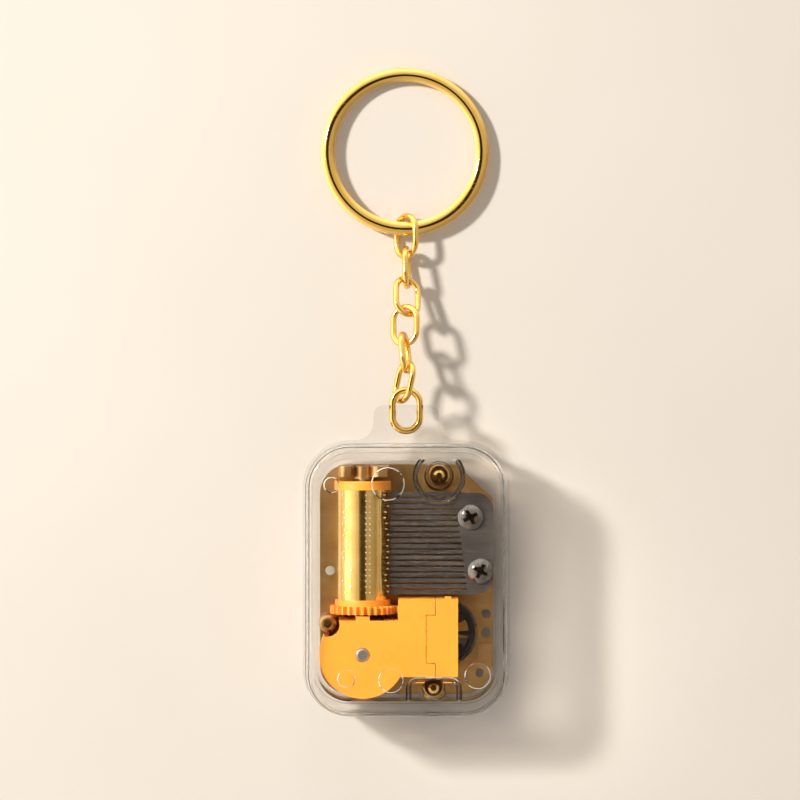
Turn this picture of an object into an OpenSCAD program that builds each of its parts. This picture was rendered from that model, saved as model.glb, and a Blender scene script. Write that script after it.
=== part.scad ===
// Key-ring music box: a wind-up cylinder movement in a clear two-shell case, hung from a
// split ring on a short chain of oval links. It lies on the back face of the case.
// Origin: centre of the back face. +X is to the right, +Y points along the chain, +Z is up
// out of the front face. All sizes are in millimetres.

/* [Case] */
// Width of the case over the bead at its seam
case_w = 36.4; // [36.4:0.1:38]
// Length of the case over the bead, without the tab
case_l = 48.6; // [48.6:0.1:50]
// Thickness of the case, back face to front face
case_h = 19.5; // [19.5:0.1:21]
// Corner radius of the case
case_r = 8.3; // [7.6:0.1:9]
// Rounding along the front and back edges
edge_r = 1.6; // [0.8:0.1:2]

/* [Tab] */
// Width of the tab that the chain hangs from
tab_w = 11.4; // [11:0.1:11.8]
// Height of the tab's top edge above the case centre
tab_top = 30.5; // [30.2:0.1:31.5]
// Thickness of the tab
tab_t = 5; // [4.6:0.1:6]

/* [Cylinder] */
// Outer radius of the pinned cylinder
cyl_r = 4.4; // [4:0.1:4.4]
// Number of pins that each of the tracks carries
pins_per_track = 6; // [2:1:8]
// Spacing of the comb's teeth
note_pitch = 1; // [0.9:0.01:1]

/* [Gears] */
// Module of the cylinder's gear and of its pinion
drive_module = 0.38; // [0.36:0.01:0.38]
// Module of the second pair of gears in the governor train
train_module = 0.25; // [0.24:0.01:0.25]

/* [Chain] */
// Thickness of the wire in a chain link
link_wire = 1.1; // [0.9:0.05:1.1]
// Outer length of a chain link
link_l = 7.9; // [7.8:0.1:8]
// Outer width of a chain link
link_w = 5.6; // [5.5:0.1:5.7]
// Outer diameter of the split ring
ring_d = 30; // [29.8:0.1:30]
// Width of the split ring's band, seen from the front
ring_band = 2.4; // [2.2:0.1:2.4]

/* [Hidden] */

$fn = 64;
eps = 0.01;

// Case levels and outlines
seam_z = case_h / 2;
bead = 0.6;                      // the bead stands this far proud of the shells
bead_h = 1;                      // height of the bead on each shell
body_w = case_w - 2 * bead;
body_l = case_l - 2 * bead;
body_r = case_r - bead;
cav_w = 31;                      // the room inside
cav_l = 42;
cav_r = 5.4;
floor_t = 1.4;                   // back wall
front_t = 1.5;                   // front wall
lip_t = 0.8;                     // tongue of the front shell inside the rear one
lip_h = 1.1;
fit_gap = 0.1;                   // all-round gap between parts that slip together
seam_gap = 0.04;                 // the shells' rims stand this far apart

// Screw posts, one above the comb and one below the gears
post_top = [5.7, 18.1];
post_low = [4.8, -19.1];
screw_r = 0.95;
screw_head_r = 1.9;
screw_head_h = 1.3;
boss_z = 7.6;                    // top of the bedplate's screw bosses
boss_r = 1.85;
collar_r = 4.4;                  // ring round the upper post, above the comb
collar_wall = 0.5;
tip_room_r = 1.95;               // hollow over each screw's tip
tip_room_h = 2.4;

bed_rests = [[-13, 9], [13.4, -6], [-13, 17.6]];   // slimmer posts that hold up the bedplate

// Tab, its slot and its post
flare_r = 3.4;
tab_r = 1.7;
slot_w = 7.8;
slot_h = 1.9;
slot_low = 24.9;
pivot = [0, 28.15];              // the post that the first link turns on
pivot_r = 1.5;

// Movement levels
bed_z = 4.7;
bed_t = 1.2;
bed_top = bed_z + bed_t;
axis_x = -7.6;                   // the cylinder's axis runs along Y
axis_z = 11.7;
seat_z = 11.4;                   // underside of the comb
comb_t = 1.2;
reed_t = 0.6;                    // thickness of the comb's teeth
comb_top = seat_z + comb_t;
roof_top = 16.9;                 // top of the yellow covers
roof_t = 0.9;
wall_t = 0.8;

// Counts that the movement is laid out for
notes = 18;                      // teeth on the comb
cyl_teeth = 28;                  // of the cylinder's gear
crown_teeth = 38;                // of the crown gear round the spring barrel

// Comb outline
comb_x1 = 15.2;
comb_y1 = 15.2;
comb_y0 = comb_y1 - (notes - 0.1) * note_pitch;
tip_x = -2.9;
root_x1 = 8.5;                   // where the slots end at the treble side
root_x0 = 10.7;                  // and at the bass side
reed_gap = 0.3;
comb_screw_1 = [11.16, 10.85];
comb_screw_2 = [12.95, 1.38];
comb_screw_r = 1;

// Cylinder, end to end along Y
cyl_y0 = -3.65;
cyl_y1 = 15.65;
pin_r = 0.15;
pin_h = 0.22;
shaft_r = 0.65;
gear_y0 = -6.1;
gear_y1 = -4.7;

// Spring barrel and its arbor
barrel = [axis_x, -13.1];
drum_r = 5.95;
drum_z1 = 15.6;
crown_r1 = 7.6;
crown_r0 = 6.45;
crown_root_z = 5.88;
crown_tip_z = 6.7;
arbor_r = 1.2;
run_gap = 0.06;                  // radial clearance of a turning fit
well_r = 7.2;                    // recess for the winding key in the back
well_z = 2.7;
well_roof = 0.6;

// Governor train: wheels on arbors along Y, then a worm on an upright shaft
pinion_teeth = 8;
wheel_teeth = 24;
first_x = axis_x + drive_module * (cyl_teeth + pinion_teeth) / 2 + 0.06;
first_z = axis_z;
second_x = 3.1;
second_z = 12.95;
worm_x = 6.4;
worm_y = -9.75;
worm_pitch_r = 0.9;
train_angle = atan2(second_z - first_z, second_x - first_x);   // from arbor to arbor
worm_wheel_r = worm_x - second_x - worm_pitch_r;
worm_lead = 2 * PI * worm_wheel_r / wheel_teeth;
fan_r = 5.7;
fan_z = 6.2;
fan_t = 0.8;

gold = [0.93, 0.72, 0.30];
brass = [0.86, 0.66, 0.32];
yellow = [1.0, 0.72, 0.18];
steel = [0.62, 0.62, 0.64];
dark_steel = [0.36, 0.34, 0.33];
clear = [0.93, 0.95, 0.97, 0.28];
black = [0.08, 0.08, 0.08];

// Outline of a rectangle with true round corners
module round_rect(w, l, r) {
    square([w - 2 * r, l], center = true);
    square([w, l - 2 * r], center = true);
    for (x = [-1, 1], y = [-1, 1])
        translate([x * (w / 2 - r), y * (l / 2 - r)]) circle(r);
}

// Section through the rim of a shell: its outer top corner is rounded by e
module rim_section(r, h, e) {
    square([r - e, h]);
    square([r, h - e]);
    translate([r - e, h - e]) circle(e, $fn = 32);
}

// Slab with round corners and one rounded outer edge, at its top
module rounded_slab(w, l, r, h, e) {
    linear_extrude(h) square([w - 2 * r, l - 2 * r], center = true);
    for (k = [0:3]) {
        across = k % 2 == 0 ? w : l;
        along = k % 2 == 0 ? l : w;
        rotate(90 * k) translate([across / 2 - r, along / 2 - r, 0]) {
            rotate_extrude(angle = 90) rim_section(r, h, e);
            rotate([90, 0, 0]) linear_extrude(along - 2 * r) rim_section(r, h, e);
        }
    }
}

// Hollow cylinder
module ring(r1, r0, h) {
    difference() {
        cylinder(r = r1, h = h);
        translate([0, 0, -1]) cylinder(r = r0, h = h + 2);
    }
}

// Upright stud from z = 0, its upper edge chamfered by c
module stud(r, h, c) {
    rotate_extrude() polygon([[0, 0], [r, 0], [r, h - c], [r - c, h], [0, h]]);
}

// Cylinder along +Y from y0 to y1
module y_rod(r, y0, y1) {
    translate([0, y0, 0]) rotate([-90, 0, 0]) cylinder(r = r, h = y1 - y0);
}

// Gear outline with straight-sided teeth that narrow to the tip.
// The first tooth points along +X.
module gear_outline(teeth, m, fill = 0.44, tip = 0.24, foot = 1.2) {
    pitch_r = teeth * m / 2;
    tip_r = pitch_r + 0.95 * m;
    root_r = pitch_r - foot * m;
    p = PI * m;
    circle(root_r);
    for (k = [0:teeth - 1]) rotate(360 * k / teeth)
        polygon([
            [root_r - 0.1, -0.62 * p / 2], [root_r, -0.6 * p / 2], [pitch_r, -fill * p / 2],
            [tip_r, -tip * p / 2], [tip_r, tip * p / 2], [pitch_r, fill * p / 2],
            [root_r, 0.6 * p / 2], [root_r - 0.1, 0.62 * p / 2]
        ]);
}

// Gear outline extruded along +Y, turned so that its first tooth points along +X
module y_gear(teeth, m, y0, y1, fill = 0.44) {
    translate([0, y1, 0]) rotate([90, 0, 0]) linear_extrude(y1 - y0) gear_outline(teeth, m, fill);
}

// ---------- Case ----------

module tab_outline() {
    side_y = case_l / 2 - 3;
    translate([-tab_w / 2, side_y]) square([tab_w, tab_top - tab_r - side_y]);
    translate([-tab_w / 2 + tab_r, side_y]) square([tab_w - 2 * tab_r, tab_top - side_y]);
    for (s = [-1, 1]) {
        translate([s * (tab_w / 2 - tab_r), tab_top - tab_r]) circle(tab_r);
        difference() {
            translate([s > 0 ? tab_w / 2 - eps : -tab_w / 2 - flare_r, case_l / 2 - 1])
                square([flare_r + eps, flare_r + 1]);
            translate([s * (tab_w / 2 + flare_r), case_l / 2 + flare_r]) circle(flare_r);
        }
    }
}

// Slot in the tab, open at the top, where the first link turns
module tab_slot_outline() {
    corner = 2.4;
    translate([-slot_w / 2, slot_low + corner]) square([slot_w, 10]);
    translate([-slot_w / 2 + corner, slot_low]) square([slot_w - 2 * corner, 10]);
    for (s = [-1, 1]) translate([s * (slot_w / 2 - corner), slot_low + corner]) circle(corner);
}

// Shallow round marks that the moulding tool leaves inside the front wall: x, y, radius
mould_marks = [[-2.7, -17.4, 2.2], [-10.4, -17.1, 1.6], [-3.2, 16.8, 2.9], [-13, 16.6, 1.4],
    [12.4, -16.6, 2.3]];
mark_depth = 0.16;

module front_cover() color(clear) {
    inner_z = case_h - front_t;
    difference() {
        union() {
            difference() {
                union() {
                    translate([0, 0, seam_z])
                        rounded_slab(body_w, body_l, body_r, case_h - seam_z, edge_r);
                    translate([0, 0, seam_z]) linear_extrude(bead_h) round_rect(case_w, case_l, case_r);
                    translate([0, 0, seam_z]) linear_extrude(tab_t / 2) tab_outline();
                }
                translate([0, 0, seam_z - 1]) linear_extrude(inner_z - seam_z + 1)
                    round_rect(cav_w, cav_l, cav_r);
                translate([0, 0, seam_z - 1]) linear_extrude(slot_h / 2 + 1) tab_slot_outline();
                for (m = mould_marks) translate([m[0], m[1], inner_z])
                    cylinder(r1 = m[2], r2 = m[2] - mark_depth, h = mark_depth);
            }
            // tongue that slips inside the rear shell
            translate([0, 0, seam_z - lip_h]) linear_extrude(lip_h + eps) difference() {
                round_rect(cav_w + 2 * lip_t, cav_l + 2 * lip_t, cav_r + lip_t);
                round_rect(cav_w, cav_l, cav_r);
            }
            intersection() {
                screw_posts(inner_z + eps);
                union() {
                    linear_extrude(seam_z + eps)
                        round_rect(cav_w - 2 * fit_gap, cav_l - 2 * fit_gap, cav_r - fit_gap);
                    translate([0, 0, seam_z]) linear_extrude(seam_z)
                        round_rect(body_w - 1, body_l - 1, body_r - 0.5);
                }
            }
        }
        // pilot holes for the screws that come in from the back
        for (p = [post_top, post_low]) {
            translate([p[0], p[1], boss_z - 1]) cylinder(r = screw_r, h = 7);
            translate([p[0], p[1], inner_z - tip_room_h]) cylinder(r = tip_room_r, h = tip_room_h);
        }
    }
}

// Section through a moulded rib, from its middle: a fillet at its root, chamfers at its end
module rib_section(w, h) {
    fillet = 0.22;
    end = 0.18;
    polygon([[-w / 2 - fillet, 0], [w / 2 + fillet, 0], [w / 2, fillet], [w / 2, h - end],
        [w / 2 - end, h], [-w / 2 + end, h], [-w / 2, h - end], [-w / 2, fillet]]);
}

// U-shaped rib, h high, that opens towards -Y
module u_rib(half_w, top, w, h) {
    corner = 1.6;
    reach = 3.6;
    rotate([90, 0, 90]) translate([top, 0, corner - half_w])
        linear_extrude(2 * (half_w - corner)) rib_section(w, h);
    for (s = [-1, 1]) {
        translate([s * half_w, top - corner, 0]) rotate([90, 0, 0])
            linear_extrude(top - corner + reach) rib_section(w, h);
        translate([s * (half_w - corner), top - corner, 0]) rotate(s > 0 ? 0 : 90)
            rotate_extrude(angle = 90) translate([corner, 0]) rib_section(w, h);
    }
}

// Clear posts that take the screws, from the bedplate's bosses up to z
module screw_posts(z) {
    wide_z = comb_top + 0.8;
    // beside the comb, inside a collar that ends above it
    translate([post_top[0], post_top[1], z]) mirror([0, 0, 1]) {
        stud(2.6, z - boss_z, 0.3);
        rotate_extrude() translate([collar_r - collar_wall / 2, 0]) rib_section(collar_wall, z - wide_z);
    }
    // below the gears, inside a U-shaped rib
    translate([post_low[0], post_low[1], 0]) {
        translate([0, 0, z]) mirror([0, 0, 1]) stud(2.1, z - boss_z, 0.3);
        translate([0, 0, z]) mirror([0, 0, 1]) u_rib(4.4, 1.75, 0.6, z - wide_z);
    }
}

module rear_cover() color(clear) {
    rim_z = seam_z - seam_gap;
    difference() {
        union() {
            difference() {
                union() {
                    translate([0, 0, rim_z]) mirror([0, 0, 1])
                        rounded_slab(body_w, body_l, body_r, rim_z, edge_r);
                    translate([0, 0, seam_z - bead_h]) linear_extrude(bead_h - seam_gap)
                        round_rect(case_w, case_l, case_r);
                    translate([0, 0, seam_z - tab_t / 2]) linear_extrude(tab_t / 2 - seam_gap)
                        tab_outline();
                }
                translate([0, 0, floor_t]) linear_extrude(seam_z) round_rect(cav_w, cav_l, cav_r);
                // rebate for the front shell's tongue
                rebate = lip_t + fit_gap;
                translate([0, 0, seam_z - lip_h - fit_gap]) linear_extrude(seam_z)
                    round_rect(cav_w + 2 * rebate, cav_l + 2 * rebate, cav_r + rebate);
                translate([0, 0, seam_z - slot_h / 2]) linear_extrude(seam_z) tab_slot_outline();
            }
            // post that the first link turns on
            translate([pivot[0], pivot[1], seam_z - slot_h / 2 - eps])
                cylinder(r = pivot_r, h = slot_h - seam_gap + eps);
            translate([pivot[0], pivot[1], seam_z - slot_h / 2 - eps])
                cylinder(r1 = pivot_r + 0.25, r2 = pivot_r, h = 0.25);
            // posts that carry the bedplate
            for (p = [post_top, post_low])
                translate([p[0], p[1], floor_t - eps]) cylinder(r = 2.9, h = bed_z - floor_t + eps);
            for (p = bed_rests)
                translate([p[0], p[1], floor_t - eps]) cylinder(r = 1.3, h = bed_z - floor_t + eps);
            // wall and roof of the key's recess
            intersection() {
                translate([barrel[0], barrel[1], floor_t - eps])
                    cylinder(r = well_r + 0.9, h = well_z + well_roof - floor_t + eps);
                linear_extrude(seam_z) round_rect(body_w - 1, body_l - 1, body_r - 0.5);
            }
        }
        translate([barrel[0], barrel[1], -1]) cylinder(r = well_r, h = well_z + 1);
        translate([barrel[0], barrel[1], -1]) cylinder(r = arbor_r + 0.15, h = seam_z);
        for (p = [post_top, post_low]) {
            translate([p[0], p[1], -1]) cylinder(r = screw_r + 0.1, h = seam_z);
            translate([p[0], p[1], -1]) cylinder(r = screw_head_r + 0.15, h = 3.2);
        }
    }
}

module cover_screws() color(steel) {
    head_z = 2.2;
    for (p = [post_top, post_low]) translate([p[0], p[1], 0]) difference() {
        union() {
            translate([0, 0, head_z - screw_head_h]) cylinder(r = screw_head_r, h = screw_head_h);
            translate([0, 0, head_z - eps]) stud(screw_r - 0.02, 10, 0.4);
        }
        cross_recess(head_z - screw_head_h - 1, 1.7, 2.3, 0.5);
    }
}

// Cross-shaped driver recess, h high from z
module cross_recess(z, h, span, slot) {
    for (a = [0, 90]) rotate(a) translate([-span / 2, -slot / 2, z]) cube([span, slot, h]);
}

// ---------- Bedplate, comb ----------

module bedplate_outline() {
    difference() {
        translate([0.05, -0.4]) round_rect(30.3, 40.5, 5);
        // cut-off corner beside the comb
        polygon([[10, 18.7], [10, 21], [16, 21], [16, 13.2]]);
    }
}

module comb_seat_outline() {
    inset = 0.3;
    polygon([[root_x1 + inset, comb_y1 - 0.3], [12.6, comb_y1 - 0.3], [comb_x1 - 0.3, 12.4],
        [comb_x1 - 0.3, comb_y0 + 0.3], [root_x0 + inset, comb_y0 + 0.3]]);
}

module bedplate() color(gold) {
    difference() {
        union() {
            translate([0, 0, bed_z]) linear_extrude(bed_t) bedplate_outline();
            // seat of the comb
            translate([0, 0, bed_top - eps]) linear_extrude(seat_z - bed_top + eps) comb_seat_outline();
            // screw bosses
            for (p = [post_top, post_low])
                translate([p[0], p[1], bed_z + eps]) stud(boss_r, boss_z - bed_z - eps, 0.3);
            // boss that holds the yellow cover, clear of the crown gear below
            difference() {
                translate([boss_xy[0], boss_xy[1], bed_z + 0.1]) stud(1.5, 9.4, 0.4);
                translate([barrel[0], barrel[1], 0]) cylinder(r = crown_r1 + 0.2, h = 7);
            }
            bearing_block();
            // raised rib beside the governor
            translate([12.6, -14.8, bed_top - eps]) cube([2.4, 3, 1.6]);
            // rim round the governor's opening
            translate([worm_x, worm_y, bed_z]) intersection() {
                ring(fan_r + 1.2, fan_r + 0.4, bed_t + 0.5);
                translate([2.9, -8, 0]) cube([9, 16, 3]);
            }
        }
        // pocket of the spring barrel, and its arbor's hole
        translate([barrel[0], barrel[1], bed_z + 0.6]) cylinder(r = crown_r1 + 0.25, h = 1.5);
        translate([barrel[0], barrel[1], 0]) cylinder(r = arbor_r + run_gap, h = bed_top);
        // opening under the governor
        translate([worm_x, worm_y, bed_z - 1]) ring_gap(fan_r + 0.4, 2.2, bed_t + 4);
        // the worm shaft's lower bearing
        translate([worm_x, worm_y, bed_z + 0.3]) cylinder(r = 0.4 + run_gap, h = 5);
        for (p = [post_top, post_low]) translate([p[0], p[1], 0]) {
            cylinder(r = screw_r + 0.1, h = 9);
            translate([0, 0, boss_z - 0.25]) cylinder(r1 = screw_r, r2 = screw_r + 0.45, h = 0.35);
        }
        translate([comb_screw_1[0], comb_screw_1[1], 7]) cylinder(r = comb_screw_r, h = 5);
        translate([comb_screw_2[0], comb_screw_2[1], 7]) cylinder(r = comb_screw_r, h = 5);
        translate([boss_xy[0], boss_xy[1], 9]) cylinder(r = 0.7, h = 6);
        // lightening and locating holes: x, y, radius
        for (h = [[-13.3, 1.1, 0.85], [14, -6.5, 0.85], [14, -9.9, 0.9], [12.9, -17, 0.8],
                [4.5, 10.3, 1.5], [6.8, 1.4, 1]])
            translate([h[0], h[1], bed_z - 1]) cylinder(r = h[2], h = 4);
        // bore of the cylinder's bearing
        translate([axis_x, 0, axis_z]) y_rod(shaft_r + run_gap, 17, 21);
        // click's rivet
        translate([click_pivot[0], click_pivot[1], bed_z - 1]) cylinder(r = 0.6, h = 3);
    }
}

// Round opening crossed by a bridge of the given width, with a disc at its centre
module ring_gap(r, bridge, h) {
    difference() {
        cylinder(r = r, h = h);
        translate([-r - 1, -bridge / 2, -1]) cube([2 * r + 2, bridge, h + 2]);
    }
}

// Upright bearing of the cylinder's far end: two cheeks and a bush between them
module bearing_block() {
    y0 = 17.9;
    y1 = 19.7;
    cheek_top = 13;              // where the cheeks' rounded heads begin
    for (cheek = [[-11.85, 2.4], [-6.3, 3.2]]) translate([cheek[0], 0, 0]) {
        translate([0, y0, bed_top - eps]) cube([cheek[1], y1 - y0, cheek_top - bed_top]);
        translate([cheek[1] / 2, 0, cheek_top]) y_rod(cheek[1] / 2, y0, y1);
    }
    translate([-9.6, y0 + 0.3, bed_top - eps]) cube([3.5, y1 - y0 - 0.6, axis_z - bed_top]);
    translate([axis_x, 0, axis_z]) y_rod(1.5, 17.5, y1);
}

// Where the teeth's slots end, as an outline that covers the solid part of the comb
module comb_body_outline() {
    r = 3.2;
    polygon([[root_x1, comb_y1], [comb_x1 - r, comb_y1], [comb_x1 - r, comb_y0], [root_x0, comb_y0]]);
    translate([comb_x1 - r - eps, comb_y0 + r]) square([r + eps, comb_y1 - comb_y0 - 2 * r]);
    for (y = [comb_y0 + r, comb_y1 - r]) translate([comb_x1 - r, y]) circle(r);
}

module comb() color(dark_steel) {
    difference() {
        union() {
            translate([0, 0, seat_z]) linear_extrude(comb_t) comb_body_outline();
            translate([tip_x, comb_y0, comb_top - reed_t])
                cube([root_x0 - tip_x + 0.5, comb_y1 - comb_y0, reed_t]);
        }
        for (k = [1:notes - 1]) {
            y = comb_y1 + 0.05 * note_pitch - k * note_pitch;
            along = (comb_y1 - y) / (comb_y1 - comb_y0);
            root = root_x1 + (root_x0 - root_x1) * along;
            translate([tip_x - 1, y - reed_gap / 2, seat_z - 1]) cube([root - tip_x + 1, reed_gap, 4]);
        }
        for (p = [comb_screw_1, comb_screw_2])
            translate([p[0], p[1], seat_z - 1]) cylinder(r = comb_screw_r + 0.05, h = 4);
    }
}

// Lead weights under the tips of the bass teeth, each a little deeper than the last
module comb_weights() color(dark_steel) {
    weighted = 8;
    for (k = [0:weighted - 1]) {
        y = comb_y0 + 0.05 * note_pitch + k * note_pitch;
        depth = 1.9 - 0.18 * k;
        translate([-1.8, y + 0.12, comb_top - reed_t - depth]) cube([3.4 - 0.2 * k, 0.5, depth]);
    }
}

module comb_screws() color(steel) {
    for (p = [[comb_screw_1, 28], [comb_screw_2, 62]])
        translate([p[0][0], p[0][1], 0]) difference() {
            union() {
                translate([0, 0, 7.6]) cylinder(r = comb_screw_r - 0.01, h = comb_top - 7.6 + eps);
                translate([0, 0, comb_top]) cylinder(r = 2.2, h = 0.6);
                translate([0, 0, comb_top + 0.6 - eps]) intersection() {
                    cylinder(r = 2.2, h = 0.7);
                    translate([0, 0, -2.75]) sphere(r = 3.52);
                }
            }
            rotate(p[1]) cross_recess(comb_top + 0.45, 2, 2.7, 0.65);
        }
}

// ---------- Cylinder ----------

// Angle of pin n on track t. The first two stand in line on all tracks, as for a run of
// all the notes. The others spread over the rest of the cylinder, shifted from track to track.
function pin_angle(t, n) = n < 2 ? 7.5 + 9 * n
    : 60 + (n - 2) * 250 / max(1, pins_per_track - 3) + (t * t * 7 + t * n * 11) % 25;

module cylinder_tube() color(gold) {
    translate([axis_x, 0, axis_z]) difference() {
        union() {
            y_rod(cyl_r, cyl_y0, cyl_y1);
            for (t = [0:notes - 1], n = [0:pins_per_track - 1])
                translate([0, comb_y1 - 0.45 * note_pitch - t * note_pitch, 0])
                    rotate([0, pin_angle(t, n), 0])
                        translate([0, 0, cyl_r - 0.3]) cylinder(r = pin_r, h = pin_h + 0.3, $fn = 16);
        }
        y_rod(cyl_r - 0.4, cyl_y0 - 1, cyl_y1 + 1);
    }
}

module cylinder_end_cap() color(yellow) {
    translate([axis_x, 0, axis_z]) difference() {
        union() {
            y_rod(4.9, cyl_y1, cyl_y1 + 1.5);
            y_rod(cyl_r - 0.4, cyl_y1 - 1.2, cyl_y1 + eps);
        }
        y_rod(shaft_r, cyl_y1 - 2, cyl_y1 + 2);
        for (a = [0:60:300]) rotate([0, a, 0]) translate([2.6, 0, 0]) y_rod(0.7, cyl_y1 + 0.7, cyl_y1 + 2);
    }
}

module cylinder_gear() color(yellow) {
    translate([axis_x, 0, axis_z]) difference() {
        union() {
            y_rod(4.8, gear_y1 - eps, cyl_y0);
            y_gear(cyl_teeth, drive_module, gear_y0, gear_y1);
            y_rod(cyl_r - 0.4, cyl_y0 - eps, cyl_y0 + 1.2);
        }
        y_rod(shaft_r, gear_y0 - 1, cyl_y0 + 2);
    }
}

module cylinder_shaft() color(steel) {
    translate([axis_x, 0, axis_z]) {
        y_rod(shaft_r, gear_y0 - 0.1, 19.6);
        y_rod(0.5, front_y + 0.1, gear_y0);
    }
}

// ---------- Spring barrel, winding ----------

module spring_barrel() color(brass) {
    translate([barrel[0], barrel[1], 0]) difference() {
        union() {
            translate([0, 0, crown_root_z - 0.45]) cylinder(r = crown_r1, h = 0.45);
            translate([0, 0, crown_root_z - 0.45]) cylinder(r = drum_r, h = drum_z1 - crown_root_z + 0.45);
            for (k = [0:crown_teeth - 1]) rotate(90 + 360 * (k + 0.5) / crown_teeth) crown_tooth();
        }
        translate([0, 0, crown_root_z + 0.3]) cylinder(r = drum_r - 0.6, h = drum_z1);
        cylinder(r = arbor_r + run_gap, h = drum_z1 + 1);
    }
}

// One tooth of the crown gear, its outer end on the +X side
module crown_tooth() {
    base = 0.56;
    top = 0.26;
    z0 = crown_root_z - 0.1;
    translate([crown_r0, 0, 0]) rotate([90, 0, 90]) linear_extrude(crown_r1 - crown_r0)
        polygon([[-base / 2, z0], [base / 2, z0], [top / 2, crown_tip_z], [-top / 2, crown_tip_z]]);
}

module barrel_lid() color(yellow) {
    translate([barrel[0], barrel[1], drum_z1 - 0.7]) ring(drum_r - 0.6, arbor_r + run_gap, 0.7);
}

// Points of a spiral that runs from r0 out to r1
function spiral(turns, r0, r1, steps) = [
    for (k = [0:steps]) let(a = 360 * turns * k / steps, r = r0 + (r1 - r0) * k / steps)
        [r * cos(a), r * sin(a)]
];

// Flat spring strip, coiled inside the barrel round its arbor
module mainspring() color(dark_steel) {
    turns = 9;
    steps = 9 * 20;
    strip = 0.16;
    inner = spiral(turns, 1.9, drum_r - 0.6 - strip - 0.02, steps);
    outer = spiral(turns, 1.9 + strip, drum_r - 0.6 - 0.02, steps);
    translate([barrel[0], barrel[1], crown_root_z + 0.5]) linear_extrude(8.2)
        polygon(concat(inner, [for (k = [steps:-1:0]) outer[k]]));
}

module winding_arbor() color(steel) {
    translate([barrel[0], barrel[1], 0]) difference() {
        translate([0, 0, 2]) stud(arbor_r, 15.15, 0.3);
        translate([0, 0, 16.9]) cylinder(r = 0.35, h = 1);
    }
}

ratchet_z = 3.8;
ratchet_t = 0.7;
ratchet_r = 3.6;
ratchet_teeth = 12;
click_pivot = [barrel[0] + 6.1, barrel[1] + 1.9];

module ratchet_wheel() color(steel) {
    translate([barrel[0], barrel[1], ratchet_z]) difference() {
        linear_extrude(ratchet_t) {
            circle(ratchet_r - 0.6);
            for (k = [0:ratchet_teeth - 1]) rotate(360 * k / ratchet_teeth)
                polygon([[ratchet_r - 0.8, -0.75], [ratchet_r, 0.3], [ratchet_r, 0.42],
                    [ratchet_r - 0.8, 0.42]]);
        }
        translate([0, 0, -1]) cylinder(r = arbor_r, h = 3);
    }
}

// Pawl that rides on the ratchet wheel, with a slim springy tail
module click() color(steel) {
    translate([click_pivot[0], click_pivot[1], ratchet_z]) difference() {
        union() {
            cylinder(r = 1.3, h = ratchet_t);
            linear_extrude(ratchet_t) polygon([[-0.9, -0.7], [0.6, -0.9], [-1.7, -3.2], [-2.55, -2.9]]);
            linear_extrude(ratchet_t) polygon([[-0.7, -0.2], [0.5, 0.3], [-1.6, 6.2], [-2, 6.05]]);
        }
        translate([0, 0, -1]) cylinder(r = 0.6 + run_gap, h = 3);
    }
}

module click_rivet() color(brass) {
    translate([click_pivot[0], click_pivot[1], 0]) {
        translate([0, 0, ratchet_z - 0.05]) cylinder(r = 0.6, h = bed_z + 0.65 - ratchet_z);
        translate([0, 0, ratchet_z - 0.35]) cylinder(r = 1, h = 0.3 + eps);
    }
}

// ---------- Yellow covers ----------

cover_r = 7.55;
gap_x0 = 3.46;                   // where the governor's cover takes over
gap_x1 = 5.05;
cover_x1 = 9;
cover_top = -3.3;
cover_low = -16.9;
step_x = -1.4;
front_y = -7.1;
boss_xy = [-13.7, -7.8];

module whole_cover_outline() {
    intersection() {
        translate(barrel) circle(cover_r);
        translate([barrel[0] - 10, barrel[1] - 10]) square([20, front_y - barrel[1] + 10]);
    }
    translate(barrel) square([step_x - barrel[0] + 1, front_y - barrel[1]]);
    translate([step_x, cover_low]) square([cover_x1 - step_x, cover_top - cover_low]);
}

// The part of the outline that belongs to the governor's cover, grown by g
module governor_part_outline(g) {
    translate([gap_x0 - g, -14.5 - g]) square([10, 8.4 + 2 * g]);
    translate([gap_x1 - g, cover_low - 1]) square([10, 20]);
}

module movement_cover_outline() {
    difference() {
        whole_cover_outline();
        governor_part_outline(0.05);
        translate(boss_xy) circle(2.1);
    }
}

// Wall along the inside of the cover's edge
module movement_wall_outline() {
    difference() {
        movement_cover_outline();
        intersection() {
            translate(barrel) circle(cover_r - wall_t);
            translate([barrel[0] - 10, barrel[1] - 10])
                square([20, front_y - wall_t - barrel[1] + 10]);
        }
        translate(barrel) square([9, front_y - wall_t - barrel[1]]);
        translate([step_x + wall_t, cover_low + wall_t])
            square([cover_x1, cover_top - cover_low - 2 * wall_t]);
        translate([-3.5, cover_low + wall_t]) square([4, 8.2]);
        translate(boss_xy) circle(2.1);
    }
}

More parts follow.
